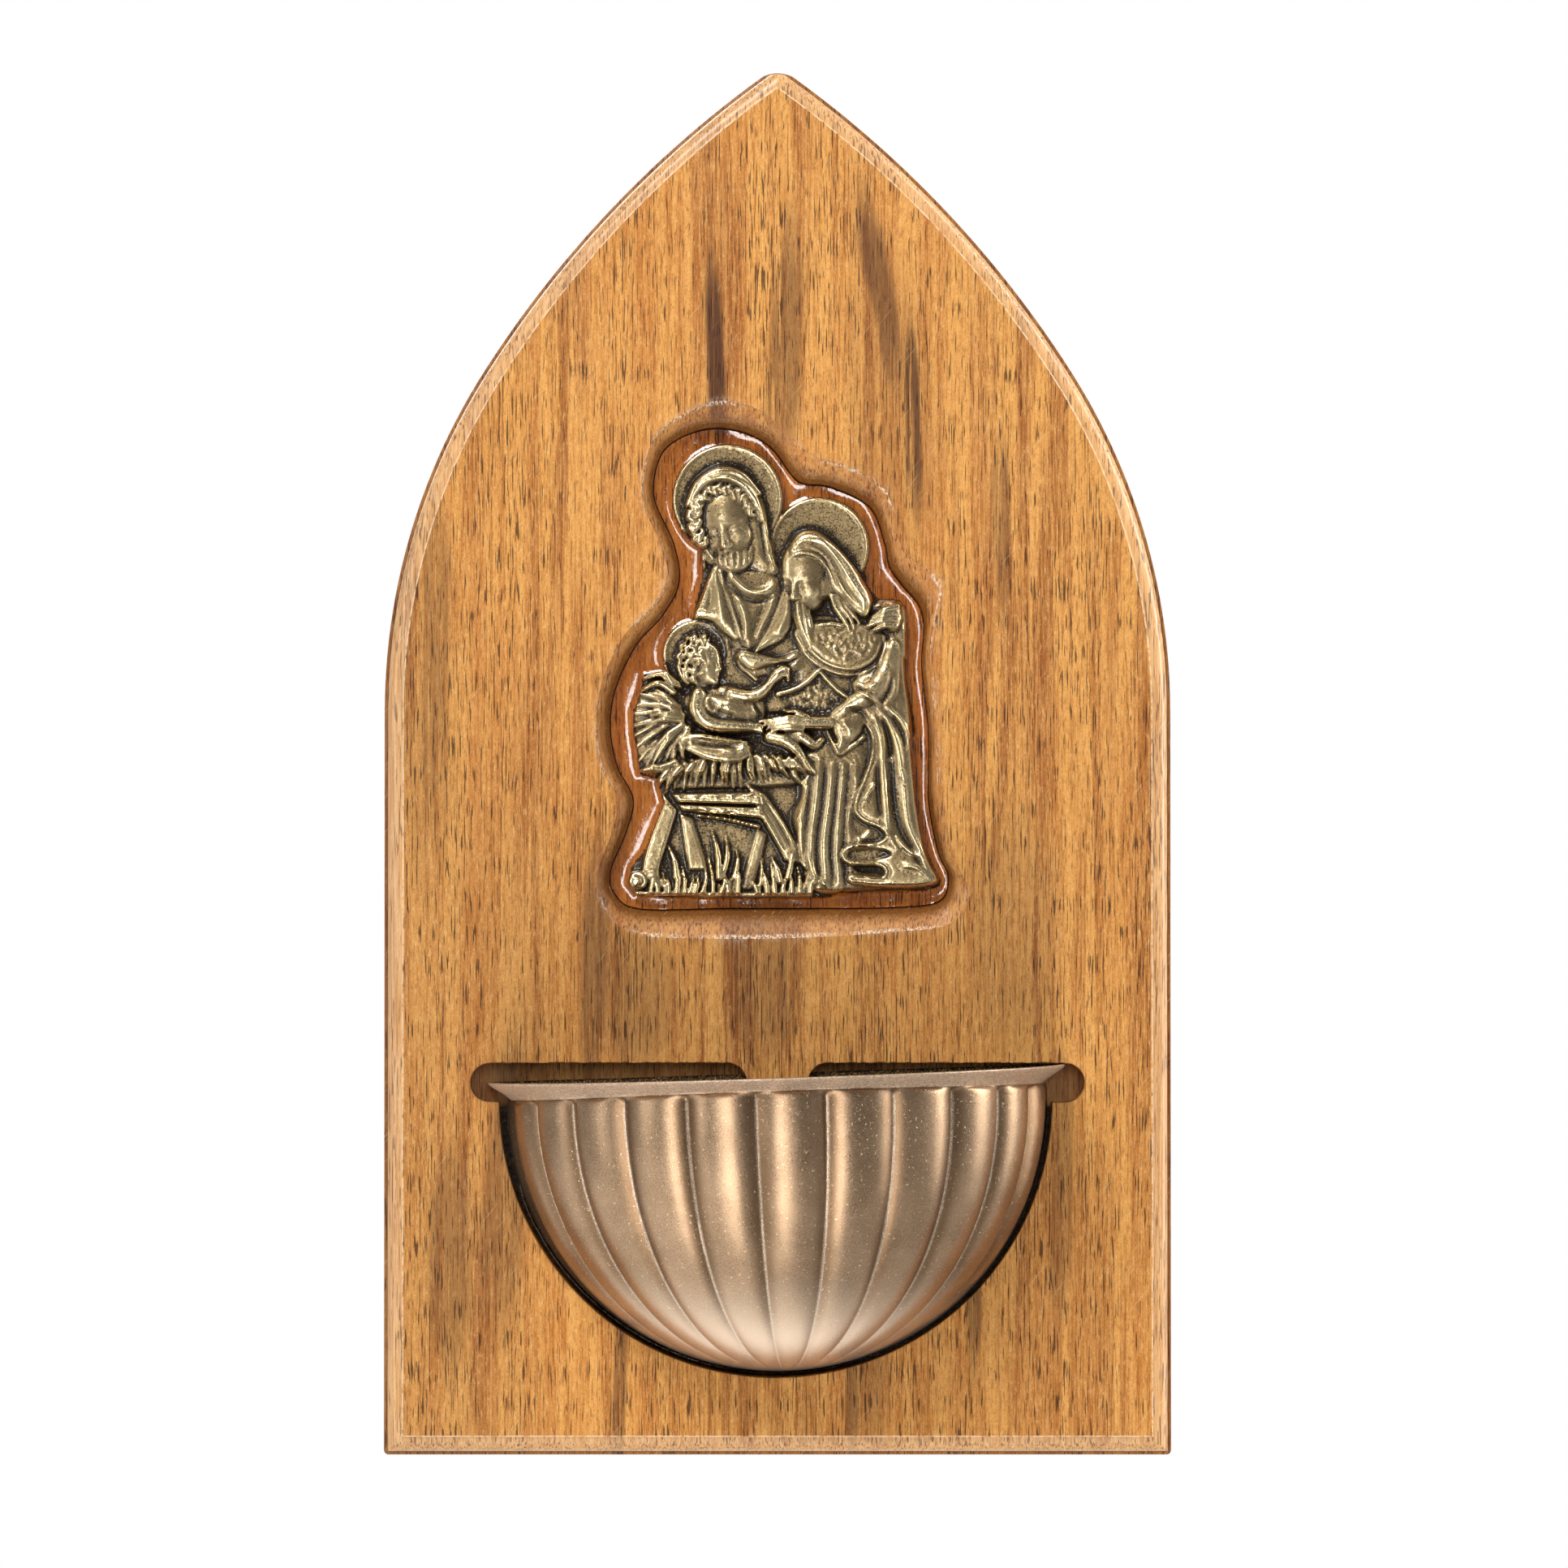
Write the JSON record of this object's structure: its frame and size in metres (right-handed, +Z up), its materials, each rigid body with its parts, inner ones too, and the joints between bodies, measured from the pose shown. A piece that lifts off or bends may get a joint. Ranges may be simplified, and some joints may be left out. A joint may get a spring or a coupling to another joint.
{
  "type": "wall-hung holy water font",
  "caption": "Pointed-arch wooden wall plaque with a recessed cast figure relief and a fluted metal half bowl for holy water.",
  "frame": {"origin": "centre of the plaque's flat back face, half way up", "axes": "+Z up along the plaque's height, +Y out of the back face into the wall, the front faces -Y, +X to the viewer's right"},
  "size_m": [0.12, 0.0566, 0.211],
  "materials": {
    "walnut": "satin",
    "antique_brass": "antiqued",
    "clear_resin": "gloss",
    "bowl_bronze": "satin lacquer",
    "adhesive": "gloss",
    "plated_steel": "plated"
  },
  "bodies": {
    "plaque": {"plaque_board": "walnut", "family_relief": "antique_brass", "relief_resin_bed": "clear_resin", "holy_water_bowl": "bowl_bronze", "bowl_adhesive": "adhesive", "hanger_strap": "plated_steel", "hanger_screws": "plated_steel"},
    "ring": {"hanger_ring": "plated_steel"}
  },
  "joints": [
    {"name": "hanger_ring_swing", "type": "hinge", "parent": "plaque", "child": "ring", "pos_m": [0, -0.00225, 0.07249], "axis": [-1, 0, 0], "range_deg": [0, 165]}
  ]
}
